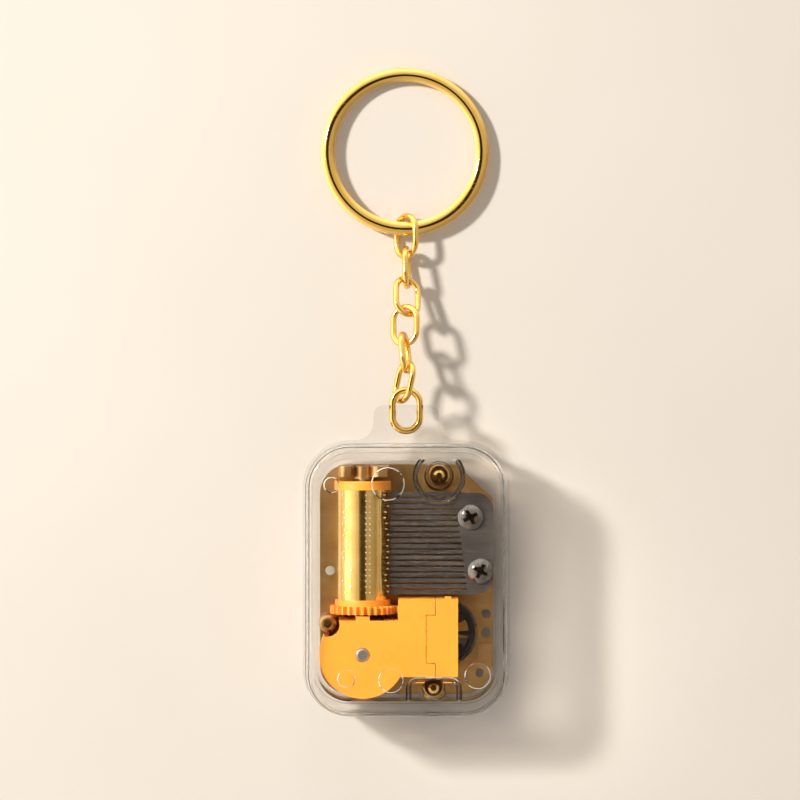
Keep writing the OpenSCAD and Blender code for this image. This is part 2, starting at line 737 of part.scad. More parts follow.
module movement_cover() color(yellow) {
    difference() {
        union() {
            translate([0, 0, roof_top - roof_t]) linear_extrude(roof_t) movement_cover_outline();
            translate([0, 0, 7]) linear_extrude(roof_top - 7.1) movement_wall_outline();
            // feet that stand on the bedplate
            translate([step_x, cover_top - wall_t, bed_top]) cube([wall_t, wall_t, 2]);
            translate([0.6, cover_low, bed_top]) cube([wall_t, wall_t, 2]);
            // tongue that carries the cylinder's gear end
            translate([axis_x - 1.2, front_y + 0.05, axis_z]) cube([2.4, 0.7, roof_top - axis_z]);
            translate([axis_x - 1.2, front_y - 0.5, roof_top - roof_t]) cube([2.4, 1.25, roof_t]);
            translate([axis_x, 0, axis_z]) y_rod(1.2, front_y + 0.05, front_y + 0.75);
            // ribs that carry the arbors of the governor train
            translate([first_x - 1.2, -8.9, first_z - 1.2]) cube([2.4, 0.8, roof_top - first_z + 0.9]);
            translate([second_x - 1, -8.9, second_z - 1]) cube([1.3, 0.8, roof_top - second_z + 0.7]);
            translate([second_x - 1, -8.9, second_z - 1]) cube([2, 0.8, 2]);
            translate([first_x, -8.9, 14.8]) cube([second_x - first_x, 0.8, 1.5]);
            translate([second_x - 1, -11.5, second_z - 1]) cube([1.3, 0.8, roof_top - second_z + 0.7]);
            translate([second_x - 1, -11.5, second_z - 1]) cube([2, 0.8, 2]);
        }
        // room for the first wheel and the cylinder's gear, in the wall between them
        translate([-4.4, -8, 6]) cube([5.2, 3.95, 9.4]);
        // room for the spring barrel
        translate([barrel[0], barrel[1], 6]) cylinder(r = drum_r + 0.15, h = drum_z1 - 5.85);
        // boreholes
        translate([barrel[0], barrel[1], 10]) cylinder(r = arbor_r + run_gap, h = 10);
        translate([axis_x, 0, axis_z]) y_rod(0.5 + run_gap, -8.5, -6);
        translate([first_x, 0, first_z]) y_rod(0.4 + run_gap, -9.5, -3);
        translate([second_x, 0, second_z]) y_rod(0.4 + run_gap, -12, -8);
        // faint gate mark of the moulding
        translate([-3.2, -13.1, roof_top - 0.08]) ring(0.9, 0.75, 1);
    }
}

module governor_cover() color(yellow) {
    roof = roof_top - roof_t;
    difference() {
        union() {
            translate([0, 0, roof]) linear_extrude(roof_t) intersection() {
                whole_cover_outline();
                governor_part_outline(-0.05);
            }
            // side wall above the fan, and two feet outside it
            translate([cover_x1 - wall_t, cover_low, 8.2]) cube([wall_t, cover_top - cover_low, roof - 8.1]);
            for (y = [cover_top - wall_t, cover_low]) {
                translate([gap_x1 + 0.1, y, 8.2]) cube([cover_x1 - gap_x1 - 0.1, wall_t, roof - 8.1]);
                translate([cover_x1 - 0.6, y, bed_top]) cube([0.6, wall_t, 2.5]);
            }
            // clip that snaps over the edge of the movement's cover
            translate([6.7, cover_top - eps, roof - 1.2]) cube([1.1, 0.4, 1.6]);
            translate([worm_x, worm_y, roof - 0.7]) cylinder(r = 1.2, h = 0.8);
        }
        translate([worm_x, worm_y, roof - 1]) cylinder(r = 0.4 + run_gap, h = 1.3);
    }
}

// ---------- Governor train ----------

module first_wheel() color(yellow) {
    translate([first_x, 0, first_z]) difference() {
        union() {
            rotate([0, 180 / pinion_teeth, 0])
                y_gear(pinion_teeth, drive_module, gear_y0, gear_y1, 0.4);
            y_rod(0.9, -7.1, gear_y0 + eps);
            rotate([0, -train_angle, 0]) y_gear(wheel_teeth, train_module, -7.8, -7.05);
        }
        y_rod(0.4, -9, -3);
    }
}

module first_arbor() color(steel) {
    translate([first_x, 0, first_z]) y_rod(0.4, -8.8, -3.4);
}

module second_pinion() color(yellow) {
    translate([second_x, 0, second_z]) rotate([0, 180 / pinion_teeth - train_angle, 0]) difference() {
        y_gear(pinion_teeth, train_module, -7.8, -7.05, 0.4);
        y_rod(0.4, -12, -6);
    }
}

module worm_wheel() color(yellow) {
    translate([second_x, 0, second_z]) difference() {
        union() {
            y_gear(wheel_teeth, 2 * worm_wheel_r / wheel_teeth, worm_y - 0.35, worm_y + 0.35, 0.34);
            y_rod(1.2, worm_y - 0.55, worm_y + 0.55);
        }
        y_rod(0.4, -12, -6);
    }
}

module second_arbor() color(steel) {
    translate([second_x, 0, second_z]) y_rod(0.4, -11.4, -6.8);
}

module worm_shaft() color(steel) {
    tip = worm_pitch_r + 0.18;
    root = worm_pitch_r - 0.2;
    turns = 3;
    translate([worm_x, worm_y, 0]) {
        translate([0, 0, bed_z + 0.4]) cylinder(r = 0.4, h = roof_top - roof_t - bed_z - 0.2);
        // the thread's low side faces the worm wheel at its middle, where a tooth stands
        translate([0, 0, second_z - turns * worm_lead / 2])
            rotate(180 * turns)
            linear_extrude(turns * worm_lead, twist = -360 * turns, slices = 14 * turns, $fn = 14)
                translate([(tip - root) / 2, 0]) circle((tip + root) / 2);
        translate([0, 0, fan_z - 0.2]) cylinder(r = 0.8, h = 3);
    }
}

// Fan that brakes in the air: a disc with a raised rim, a hub and two windows
module governor_disc() color(black) {
    translate([worm_x, worm_y, fan_z]) difference() {
        union() {
            cylinder(r = fan_r, h = fan_t - 0.2);
            ring(fan_r, fan_r - 0.9, fan_t);
            cylinder(r = 1.9, h = fan_t + 0.6);
        }
        translate([0, 0, -1]) cylinder(r = 0.8, h = 4);
        for (a = [-34, 146]) rotate(a) translate([0, 0, -1]) fan_sector(2);
    }
}

// Two plates that lie on the fan and weigh it
module governor_weights() color(gold) {
    translate([worm_x, worm_y, fan_z + fan_t - 0.2]) for (a = [4, 184]) rotate(a) fan_sector(0.5);
}

// Piece of a ring between the fan's hub and its rim, h high
module fan_sector(h) {
    rotate_extrude(angle = 26) translate([2.6, 0]) square([1.9, h]);
}

// ---------- Winding key ----------

bail_r = 5.2;
bail_wire = 0.7;
bail_z = 1.1;

module key_hub() color(gold) {
    translate([barrel[0], barrel[1], 0]) difference() {
        translate([0, 0, 0.25]) cylinder(r = 2.5, h = well_z - 0.45);
        translate([0, 0, 2]) cylinder(r = arbor_r, h = 3);
        translate([-4, 0, bail_z]) rotate([0, 90, 0]) cylinder(r = bail_wire + run_gap, h = 8);
    }
}

// D-shaped ring of wire: its straight side turns in the hub
module key_bail() color(gold) {
    translate([barrel[0], barrel[1], bail_z]) {
        rotate([0, 90, 0]) translate([0, 0, -bail_r]) cylinder(r = bail_wire, h = 2 * bail_r);
        rotate_extrude(angle = 180) translate([bail_r, 0]) circle(bail_wire, $fn = 32);
        for (s = [-1, 1]) translate([s * bail_r, 0, 0]) sphere(bail_wire);
    }
}

// ---------- Chain ----------

jump_l = 8.4;                    // the larger rings at the chain's two ends
jump_w = 6;
jump_wire = 1.2;                 // of the one on the case's post
last_wire = 1.1;                 // of the one on the split ring

// Oval link of round wire, lying in the XY plane with its length along Y
module oval_link(l, w, wire) {
    bend = (w - wire) / 2;
    half = l / 2 - w / 2;
    for (s = [0, 180]) rotate(s) {
        translate([0, half, 0]) rotate_extrude(angle = 180) translate([bend, 0]) circle(wire / 2, $fn = 32);
        translate([bend, half, 0]) rotate([90, 0, 0]) cylinder(r = wire / 2, h = 2 * half);
    }
}

// Places of the chain links, nearest the case first:
// x, y, z of the centre, roll about the link's length, lean in the plane, rise of its far end
link_places = [
    [-0.35, 34.6, 9.05, 58, -12, -1],
    [-0.2, 39.75, 8, 104, 5, -16],
    [-0.2, 44.6, 7.1, 24, 0, -14],
    [0.14, 49.79, 5.33, -31.5, 0, -23.1],
    [0.09, 55, 3.53, -83.2, 0, -12.4],
    [0, 60.66, 2.59, 46.8, 0, -6.3]
];

module placed_link(k, l, w, wire) {
    p = link_places[k - 1];
    translate([p[0], p[1], p[2]]) rotate([p[5], 0, p[4]]) rotate([0, -p[3], 0]) oval_link(l, w, wire);
}

// Jump ring that turns on the case's post
module post_link() color(gold) {
    slack = 0.1;                 // between the wire and the post
    translate([0, pivot[1] + jump_l / 2 - jump_wire - pivot_r - slack, seam_z])
        oval_link(jump_l, jump_w, jump_wire);
}

module chain_link_1() color(gold) placed_link(1, link_l, link_w, link_wire);
module chain_link_2() color(gold) placed_link(2, link_l, link_w, link_wire);
module chain_link_3() color(gold) placed_link(3, link_l, link_w, link_wire);
module chain_link_4() color(gold) placed_link(4, link_l, link_w, link_wire);
module chain_link_5() color(gold) placed_link(5, link_l, link_w, link_wire);
module chain_link_6() color(gold) placed_link(6, jump_l, jump_w, last_wire);

// Split ring: two coils of sprung strip, one on the other, each with a domed face
ring_t = 1.6;
ring_place = [-0.19, 75.78, 1.84];
ring_tilt = -2.3;                // lifts the edge that hangs in the last link

// Section through one coil: flat below, domed above
module coil_section(w, h) {
    side_h = 0.3;                // height at which the dome begins
    dome_h = h - side_h;
    dome_r = (w * w / 4 + dome_h * dome_h) / (2 * dome_h);
    translate([-w / 2, 0]) square([w, side_h]);
    intersection() {
        translate([0, h - dome_r]) circle(dome_r, $fn = 96);
        translate([-w / 2, 0]) square([w, h]);
    }
}

module split_ring() color(gold) {
    translate(ring_place) rotate([ring_tilt, 0, 0]) rotate_extrude()
        translate([(ring_d - ring_band) / 2, 0]) {
            coil_section(ring_band, ring_t / 2);
            mirror([0, 1]) coil_section(ring_band, ring_t / 2);
        }
}

front_cover();
rear_cover();
cover_screws();
bedplate();
comb();
comb_weights();
comb_screws();
cylinder_tube();
cylinder_end_cap();
cylinder_gear();
cylinder_shaft();
spring_barrel();
barrel_lid();
mainspring();
winding_arbor();
ratchet_wheel();
click();
click_rivet();
movement_cover();
governor_cover();
first_wheel();
first_arbor();
second_pinion();
worm_wheel();
second_arbor();
worm_shaft();
governor_disc();
governor_weights();
key_hub();
key_bail();
post_link();
chain_link_1();
chain_link_2();
chain_link_3();
chain_link_4();
chain_link_5();
chain_link_6();
split_ring();
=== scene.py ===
# %% [markdown]
# # A key-ring music box
#
# A small wind-up cylinder movement sits in a clear case of two shells. A chain of oval links
# joins the case's tab to a split ring. The shapes come from the CAD frame, in metres. This
# lesson gives them rounded edges, finishes, a camera and light. Every piece of the real
# object is a solid of the CAD already, so no piece is added here.

# %% Load the frame
import math

import bpy
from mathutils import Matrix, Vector


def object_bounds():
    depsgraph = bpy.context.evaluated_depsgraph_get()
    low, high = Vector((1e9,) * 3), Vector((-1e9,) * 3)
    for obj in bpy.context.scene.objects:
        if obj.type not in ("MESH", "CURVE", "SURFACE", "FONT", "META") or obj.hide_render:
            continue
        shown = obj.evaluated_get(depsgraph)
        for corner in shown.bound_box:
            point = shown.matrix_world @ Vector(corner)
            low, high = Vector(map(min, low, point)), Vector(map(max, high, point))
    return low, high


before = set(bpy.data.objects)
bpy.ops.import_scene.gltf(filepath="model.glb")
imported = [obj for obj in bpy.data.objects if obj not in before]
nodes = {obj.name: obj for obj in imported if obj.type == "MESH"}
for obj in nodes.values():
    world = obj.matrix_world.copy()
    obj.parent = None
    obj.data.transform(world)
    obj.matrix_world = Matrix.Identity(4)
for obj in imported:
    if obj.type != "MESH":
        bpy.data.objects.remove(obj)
cad_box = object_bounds()
MM = 0.001

# %% [markdown]
# ## Camera
#
# The object lies on its back and is seen from straight above. A long lens keeps the case's
# side walls nearly hidden, as on a product table. The camera comes first, because every
# later choice is judged through it. An Empty with a Track To constraint would aim it too,
# but a camera that looks straight down needs no aim: its rest rotation already does so.

# %% Camera over the object
CAMERA_X = -1.1
CAMERA_Y = 31.4
CAMERA_HEIGHT = 610
LENS = 153

camera_data = bpy.data.cameras.new("camera")
camera_data.lens = LENS
camera_data.sensor_width = 36
camera_data.clip_start = 0.05
camera_data.clip_end = 10
camera = bpy.data.objects.new("camera", camera_data)
camera.location = (CAMERA_X * MM, CAMERA_Y * MM, CAMERA_HEIGHT * MM)
bpy.context.scene.collection.objects.link(camera)
bpy.context.scene.camera = camera
print("camera", CAMERA_HEIGHT, "mm above the table")

# %% [markdown]
# ## Tools for materials
#
# Every finish starts as a Principled BSDF. Its node tree could be laid out by hand in the
# shader editor, or written here call by call. A small class keeps the writing short: it
# makes nodes, links them, and can be used for a material, a shared group or the world.

# %% Node tree helper
NODES_PER_ROW = 8
NODE_WIDTH = 220
NODE_HEIGHT = 260

# A Mix node has one set of sockets per type, under the same names. These are the places of
# A, of B and of the result.
MIX_NUMBERS = (2, 3, 0)
MIX_COLOURS = (6, 7, 2)


class Tree:
    """A node tree that is built in a few short lines."""

    def __init__(self, node_tree):
        self.tree = node_tree

    def add(self, kind, **settings):
        """A new node, with its plain settings, in the next free place of the layout."""
        row, column = divmod(len(self.tree.nodes), NODES_PER_ROW)
        node = self.tree.nodes.new(kind)
        node.location = (NODE_WIDTH * column, -NODE_HEIGHT * row)
        for name, value in settings.items():
            setattr(node, name, value)
        return node

    def put(self, value, target):
        """Links a socket to the target, or writes a plain value into it."""
        if isinstance(value, bpy.types.NodeSocket):
            self.tree.links.new(value, target)
        else:
            target.default_value = value

    def fill(self, node, **values):
        """Sets inputs by name, an underscore standing for a space."""
        for name, value in values.items():
            self.put(value, node.inputs[name.replace("_", " ")])

    def math(self, operation, a, b=0.0):
        node = self.add("ShaderNodeMath", operation=operation)
        self.put(a, node.inputs[0])
        self.put(b, node.inputs[1])
        return node.outputs[0]

    def spread(self, value, low, high, out_low=0.0, out_high=1.0):
        """Maps low..high to out_low..out_high, held at both ends."""
        node = self.add("ShaderNodeMapRange")
        self.fill(node, Value=value, From_Min=low, From_Max=high, To_Min=out_low, To_Max=out_high)
        return node.outputs["Result"]

    def mix(self, factor, a, b, kind="RGBA", places=MIX_COLOURS):
        """A colour between a and b."""
        node = self.add("ShaderNodeMix", data_type=kind)
        place_a, place_b, place_result = places
        self.put(factor, node.inputs[0])
        self.put(a, node.inputs[place_a])
        self.put(b, node.inputs[place_b])
        return node.outputs[place_result]

    def mix_numbers(self, factor, a, b):
        """A number between a and b."""
        return self.mix(factor, a, b, "FLOAT", MIX_NUMBERS)

    def noise(self, vector, scale, detail=3.0, roughness=0.55):
        node = self.add("ShaderNodeTexNoise")
        self.fill(node, Vector=vector, Scale=scale, Detail=detail, Roughness=roughness)
        return node.outputs["Fac"]

    def scaled(self, vector, factor):
        """Coordinates that are all multiplied by one number."""
        node = self.add("ShaderNodeVectorMath", operation="SCALE")
        self.fill(node, Vector=vector, Scale=factor)
        return node.outputs["Vector"]

    def stretched(self, vector, x, y, z, turn=0.0):
        """Coordinates turned about Z and scaled, which draws a noise out into lines."""
        node = self.add("ShaderNodeMapping")
        self.fill(node, Vector=vector, Rotation=(0, 0, turn), Scale=(x, y, z))
        return node.outputs["Vector"]


def new_group(name, numbers, outputs):
    """A shader group. It takes a Vector and numbers that start at 1, and gives numbers."""
    group = bpy.data.node_groups.new(name, "ShaderNodeTree")
    group.interface.new_socket("Vector", in_out="INPUT", socket_type="NodeSocketVector")
    for label in numbers:
        socket = group.interface.new_socket(label, in_out="INPUT", socket_type="NodeSocketFloat")
        socket.default_value = 1.0
    for label in outputs:
        group.interface.new_socket(label, in_out="OUTPUT", socket_type="NodeSocketFloat")
    tree = Tree(group)
    return tree, tree.add("NodeGroupInput"), tree.add("NodeGroupOutput")


print("node helpers ready:", ", ".join(name for name in vars(Tree) if not name.startswith("_")))

# %% [markdown]
# ## Handling marks
#
# A key ring is carried, so everything on it has hairline scratches and faint smudges. They
# hardly change the colour, but they break up the gloss, and that is what tells the eye that
# a surface is real. Painted masks would need unwrapped meshes, so noise makes them. One
# group makes both masks, and each finish takes its own amount.

# %% Group: handling marks
HAIRLINE_TURNS = (0.5, 2.1, 1.2)


def make_handling_marks():
    tree, given, result = new_group("handling_marks", ["Scale"], ["Hairlines", "Smudges"])
    place = tree.scaled(given.outputs["Vector"], given.outputs["Scale"])
    lines = 0.0
    for turn in HAIRLINE_TURNS:
        drawn = tree.noise(tree.stretched(place, 180, 9000, 2400, turn), scale=1.0, detail=1.0)
        thin = tree.spread(drawn, low=0.72, high=0.78)
        lines = tree.math("MAXIMUM", thin, lines)
    cloud = tree.noise(place, scale=130, detail=4.0, roughness=0.6)
    tree.fill(result, Hairlines=lines, Smudges=tree.spread(cloud, low=0.38, high=0.68))
    return tree.tree


handling_marks = make_handling_marks()
print("group:", handling_marks.name)

# %% [markdown]
# ## Moulded grain and brushed lines
#
# A moulded piece carries the fine spark-eroded grain of its mould. A ground or turned piece
# carries lines along the way the wheel ran. Both are heights for a Bump node. Displacement
# would need millions of faces for relief that is a few microns deep.

# %% Groups: grain and brushed lines
def make_moulded_grain():
    tree, given, result = new_group("moulded_grain", ["Size"], ["Height"])
    place = tree.scaled(given.outputs["Vector"], given.outputs["Size"])
    fine = tree.noise(place, scale=5200, detail=2.0)
    coarse = tree.noise(place, scale=900, detail=2.0)
    tree.fill(result, Height=tree.math("ADD", fine, tree.math("MULTIPLY", coarse, 0.6)))
    return tree.tree


def make_brushed_lines():
    tree, given, result = new_group("brushed_lines", [], ["Height", "Streaks"])
    lines = tree.noise(given.outputs["Vector"], scale=1.0, detail=2.0)
    tree.fill(result, Height=lines, Streaks=tree.spread(lines, low=0.3, high=0.7))
    return tree.tree


moulded_grain = make_moulded_grain()
brushed_lines = make_brushed_lines()
print("groups:", moulded_grain.name, brushed_lines.name)

# %% [markdown]
# ## Starting point of every finish
#
# Each surface of the object needs the same three things: a Principled BSDF, its own marks,
# and a slight relief. The coordinates could come from a UV map, but the CAD meshes have
# none, and the object's own coordinates are in metres, so a noise keeps its real size.

# %% Starting point of every finish
def new_finish(name):
    """A material with its tree, its Principled BSDF and the object's own coordinates."""
    material = bpy.data.materials.new(name)
    material.use_nodes = True
    tree = Tree(material.node_tree)
    shader = material.node_tree.nodes["Principled BSDF"]
    place = tree.add("ShaderNodeTexCoord").outputs["Object"]
    return material, tree, shader, place


def place_group(tree, group, **values):
    """A node that uses a shared group."""
    node = tree.add("ShaderNodeGroup", node_tree=group)
    tree.fill(node, **values)
    return node


def bump_from(tree, shader, height, strength, distance=0.0001):
    """Relief from a height, as deep as the distance in metres."""
    bump = tree.add("ShaderNodeBump")
    tree.fill(bump, Height=height, Strength=strength, Distance=distance)
    tree.fill(shader, Normal=bump.outputs["Normal"])


print("every finish starts from new_finish, place_group and bump_from")

# %% [markdown]
# ## Gold plate
#
# The ring, the chain, the bedplate and the cylinder are bright gold-coloured plating. A
# metal has no colour of its own apart from what it reflects, so Metallic is 1 and the base
# colour tints the reflections. The plating is a little redder where it is thin. One function
# makes the polished plating, the duller one of the bedplate, and a brass for the barrel and
# the click rivet that is darkened to a deep brown as painted shade, standing in for the shade under
# the gear.

# %% Finish: gold plate
def make_gold(name, bright, thin, smooth, rough):
    material, tree, shader, place = new_finish(name)
    marks = place_group(tree, handling_marks, Vector=place)
    wear = tree.spread(tree.noise(place, scale=210), low=0.35, high=0.7)
    smudged = tree.math("MULTIPLY", marks.outputs["Smudges"], 0.5)
    dulled = tree.math("MAXIMUM", smudged, marks.outputs["Hairlines"])
    roughness = tree.spread(dulled, 0.0, 1.0, smooth, rough)
    tree.fill(shader, Base_Color=tree.mix(wear, bright, thin), Metallic=1.0, Roughness=roughness)
    wave = tree.noise(place, scale=420, detail=2.0)
    scratch = tree.math("MULTIPLY", marks.outputs["Hairlines"], 0.5)
    bump_from(tree, shader, tree.math("SUBTRACT", wave, scratch), strength=0.06)
    return material


gold = make_gold(
    "gold_plate", bright=(1.0, 0.7, 0.22, 1), thin=(0.96, 0.6, 0.15, 1), smooth=0.06, rough=0.16
)
bedplate_gold = make_gold(
    "bedplate_gold", bright=(0.66, 0.41, 0.17, 1), thin=(0.48, 0.27, 0.095, 1), smooth=0.3, rough=0.38
)
# Painted shade: this brass is darkened to a deep brown that stands in for the shade the barrel sits in
# under the gear.
brass_in_painted_shade = make_gold(
    "brass_in_painted_shade", bright=(0.34, 0.13, 0.03, 1), thin=(0.24, 0.09, 0.02, 1), smooth=0.25, rough=0.4
)
print("gold finishes:", gold.name, bedplate_gold.name, brass_in_painted_shade.name)

# %% [markdown]
# ## Pins of the cylinder
#
# The cylinder's pins are cut from steel wire, and the CAD has them in one piece with the
# tube. What stands further from the axis than the tube's wall is pin, so one distance tells
# the two metals apart. The axis is measured on the mesh, at the tube's low Y end, where
# there are no pins. A vertex colour would do too, but it would need a mesh change.

# %% Finish: gold cylinder with steel pins
TUBE_RADIUS = 4.4
PIN_START = 0.03
PIN_BLEND = 0.02
END_DEPTH = 0.1
PIN_STEEL = (0.95, 0.93, 0.9, 1)
PIN_ROUGHNESS = 0.4


def middle(values):
    return (min(values) + max(values)) / 2


def axis_of_tube(mesh):
    """X and Z of the tube's axis, from the ring of vertices at its low Y end."""
    end = min(vertex.co.y for vertex in mesh.vertices)
    rim = [vertex.co for vertex in mesh.vertices if vertex.co.y < end + END_DEPTH * MM]
    return middle([point.x for point in rim]), middle([point.z for point in rim])


def distance_from_axis(tree, axis_x, axis_z):
    """How far a point of the surface is from the tube's axis, in metres."""
    place = tree.add("ShaderNodeSeparateXYZ")
    tree.fill(place, Vector=tree.add("ShaderNodeTexCoord").outputs["Object"])
    across = tree.math("SUBTRACT", place.outputs["X"], axis_x)
    up = tree.math("SUBTRACT", place.outputs["Z"], axis_z)
    squares = tree.math("ADD", tree.math("MULTIPLY", across, across), tree.math("MULTIPLY", up, up))
    return tree.math("SQRT", squares)


def make_pinned_gold(mesh):
    material = make_gold(
        "cylinder_gold", bright=(1.0, 0.72, 0.27, 1), thin=(0.95, 0.62, 0.18, 1), smooth=0.1, rough=0.2
    )
    tree = Tree(material.node_tree)
    start = (TUBE_RADIUS + PIN_START) * MM
    is_pin = tree.spread(distance_from_axis(tree, *axis_of_tube(mesh)), start, start + PIN_BLEND * MM)
    shader = material.node_tree.nodes["Principled BSDF"]
    plating_colour = shader.inputs["Base Color"].links[0].from_socket
    plating_roughness = shader.inputs["Roughness"].links[0].from_socket
    tree.fill(shader, Base_Color=tree.mix(is_pin, plating_colour, PIN_STEEL))
    tree.fill(shader, Roughness=tree.mix_numbers(is_pin, plating_roughness, PIN_ROUGHNESS))
    return material


cylinder_gold = make_pinned_gold(nodes["cylinder_tube"].data)
print("pinned finish:", cylinder_gold.name)

# %% [markdown]
# ## Steel
#
# The comb is ground spring steel, dark and warm, with its grinding lines along the teeth.
# Screws and arbors are brighter. The lines are a noise that is stretched along X, so its
# Mapping scale is small along X and large across it. An Anisotropic value could stand in
# for the lines, but it would show no single scratch from close by.

# %% Finishes: comb steel, bright steel
COMB_DARK = (0.09, 0.076, 0.07, 1)
COMB_LIGHT = (0.135, 0.118, 0.11, 1)
COMB_BLOTCH = (0.06, 0.05, 0.046, 1)


def make_comb_steel():
    material, tree, shader, place = new_finish("comb_steel")
    lines = place_group(tree, brushed_lines, Vector=tree.stretched(place, 120, 5200, 900))
    blotches = tree.spread(tree.noise(place, scale=160, detail=4.0), low=0.3, high=0.75)
    ground = tree.mix(lines.outputs["Streaks"], COMB_DARK, COMB_LIGHT)
    colour = tree.mix(tree.math("MULTIPLY", blotches, 0.4), ground, COMB_BLOTCH)
    roughness = tree.spread(lines.outputs["Streaks"], 0, 1, 0.34, 0.5)
    tree.fill(shader, Base_Color=colour, Metallic=0.8, Roughness=roughness)
    bump_from(tree, shader, lines.outputs["Height"], strength=0.14)
    return material


def make_bright_steel(name, bright, worn, smooth, rough):
    material, tree, shader, place = new_finish(name)
    marks = place_group(tree, handling_marks, Vector=place, Scale=2.5)
    turned = tree.noise(tree.stretched(place, 900, 900, 5000), scale=1.0, detail=2.0)
    colour = tree.mix(marks.outputs["Smudges"], bright, worn)
    roughness = tree.spread(marks.outputs["Hairlines"], 0, 1, smooth, rough)
    tree.fill(shader, Base_Color=colour, Metallic=1.0, Roughness=roughness)
    bump_from(tree, shader, turned, strength=0.05)
    return material


comb_steel = make_comb_steel()
screw_steel = make_bright_steel(
    "screw_steel", bright=(0.25, 0.24, 0.23, 1), worn=(0.17, 0.16, 0.155, 1), smooth=0.08, rough=0.24
)
turned_steel = make_bright_steel(
    "turned_steel", bright=(0.62, 0.61, 0.6, 1), worn=(0.46, 0.45, 0.44, 1), smooth=0.3, rough=0.42
)
print("steel finishes:", comb_steel.name, screw_steel.name, turned_steel.name)

# %% [markdown]
# ## Moulded plastic
#
# The gear covers, the cylinder's cap and the gears are one warm yellow plastic with a satin
# skin. The fan is black. A little subsurface light softens the yellow's shadows, as light
# enters the plastic and comes out nearby. A plain diffuse base would look like paint.

# %% Finish: moulded plastic
GLOW_RADIUS = (0.002, 0.0012, 0.0005)
ROUGHER_WHERE_WORN = 0.16


def make_plastic(name, colour, deep, roughness, soften, grain):
    material, tree, shader, place = new_finish(name)
    marks = place_group(tree, handling_marks, Vector=place, Scale=1.4)
    skin = place_group(tree, moulded_grain, Vector=place)
    flow = tree.spread(tree.noise(place, scale=95), low=0.35, high=0.7)
    worn = tree.math("MULTIPLY", marks.outputs["Smudges"], 0.6)
    tree.fill(shader, Base_Color=tree.mix(flow, colour, deep), IOR=1.5)
    tree.fill(shader, Roughness=tree.spread(worn, 0, 1, roughness, roughness + ROUGHER_WHERE_WORN))
    tree.fill(shader, Subsurface_Weight=soften, Subsurface_Radius=GLOW_RADIUS, Subsurface_Scale=0.4)
    scratched = tree.math("SUBTRACT", skin.outputs["Height"], marks.outputs["Hairlines"])
    bump_from(tree, shader, scratched, strength=grain)
    return material


yellow_plastic = make_plastic(
    "yellow_plastic", colour=(0.87, 0.325, 0.03, 1), deep=(0.81, 0.295, 0.024, 1),
    roughness=0.32, soften=0.15, grain=0.1
)
black_plastic = make_plastic(
    "black_plastic", colour=(0.014, 0.013, 0.012, 1), deep=(0.02, 0.018, 0.016, 1),
    roughness=0.35, soften=0.0, grain=0.12
)
print("plastics:", yellow_plastic.name, black_plastic.name)

# %% [markdown]
# ## Clear acrylic
#
# The case is polished clear acrylic. Glass in a path tracer blocks direct light, so what is
# inside would be dark. The usual way out is to let shadow rays pass: a Mix Shader takes the
# Principled BSDF for every ray but a shadow ray, and a tinted Transparent BSDF for those.
# Light that meets an upright wall is mostly bent away, so the walls let less of it through
# than the level faces do. The Mix Shader and the Light Path stay in the material.

# %% Finish: clear acrylic
CLEAR = (0.997, 0.999, 1.0, 1)
THROUGH_WALLS = (0.4, 0.38, 0.36, 1)
THROUGH_LEVEL_FACES = (0.9, 0.89, 0.87, 1)


def make_acrylic():
    material, tree, shader, place = new_finish("clear_acrylic")
    marks = place_group(tree, handling_marks, Vector=place, Scale=0.8)
    roughness = tree.spread(marks.outputs["Hairlines"], 0, 1, 0.0, 0.09)
    tree.fill(shader, Base_Color=CLEAR, IOR=1.45, Transmission_Weight=1.0, Roughness=roughness)
    bump_from(tree, shader, tree.noise(place, scale=150, detail=2.0), strength=0.035, distance=0.0002)
    facing = tree.add("ShaderNodeSeparateXYZ")
    tree.fill(facing, Vector=tree.add("ShaderNodeNewGeometry").outputs["Normal"])
    level = tree.spread(tree.math("ABSOLUTE", facing.outputs["Z"]), low=0.3, high=0.7)
    see_through = tree.add("ShaderNodeBsdfTransparent")
    tree.fill(see_through, Color=tree.mix(level, THROUGH_WALLS, THROUGH_LEVEL_FACES))
    rays = tree.add("ShaderNodeLightPath")
    chosen = tree.add("ShaderNodeMixShader")
    tree.put(rays.outputs["Is Shadow Ray"], chosen.inputs[0])
    tree.put(shader.outputs["BSDF"], chosen.inputs[1])
    tree.put(see_through.outputs["BSDF"], chosen.inputs[2])
    tree.fill(material.node_tree.nodes["Material Output"], Surface=chosen.outputs["Shader"])
    return material


clear_acrylic = make_acrylic()
print("clear:", clear_acrylic.name)

# %% [markdown]
# ## Which node wears which finish
#
# The real pieces are plated, moulded or ground before they are put together, so each piece
# has one finish. Each CAD node keeps its mesh. Its old material goes and the new one takes
# its place. Several slots on one mesh would be needed only for a piece of two finishes.

# %% Give the finishes to the nodes
CHAIN_LINKS = [f"chain_link_{k}" for k in range(1, 7)]
FINISHES = {
    clear_acrylic: ["front_cover", "rear_cover"],
    gold: ["post_link", "split_ring", "key_hub", "key_bail", "cover_screws", *CHAIN_LINKS],
    bedplate_gold: ["bedplate", "governor_weights"],
    cylinder_gold: ["cylinder_tube"],
    # The barrel and the click rivet take the deep brown of painted shade.
    brass_in_painted_shade: ["spring_barrel", "click_rivet"],
    yellow_plastic: ["movement_cover", "governor_cover", "cylinder_end_cap", "cylinder_gear",
                     "barrel_lid", "first_wheel", "second_pinion", "worm_wheel"],
    comb_steel: ["comb", "comb_weights", "mainspring"],
    screw_steel: ["comb_screws"],
    turned_steel: ["cylinder_shaft", "winding_arbor", "ratchet_wheel", "click", "first_arbor",
                   "second_arbor", "worm_shaft"],
    black_plastic: ["governor_disc"],
}
for finish, names in FINISHES.items():
    for name in names:
        mesh = nodes[name].data
        mesh.materials.clear()
        mesh.materials.append(finish)
print("finished nodes:", sum(len(names) for names in FINISHES.values()), "of", len(nodes))

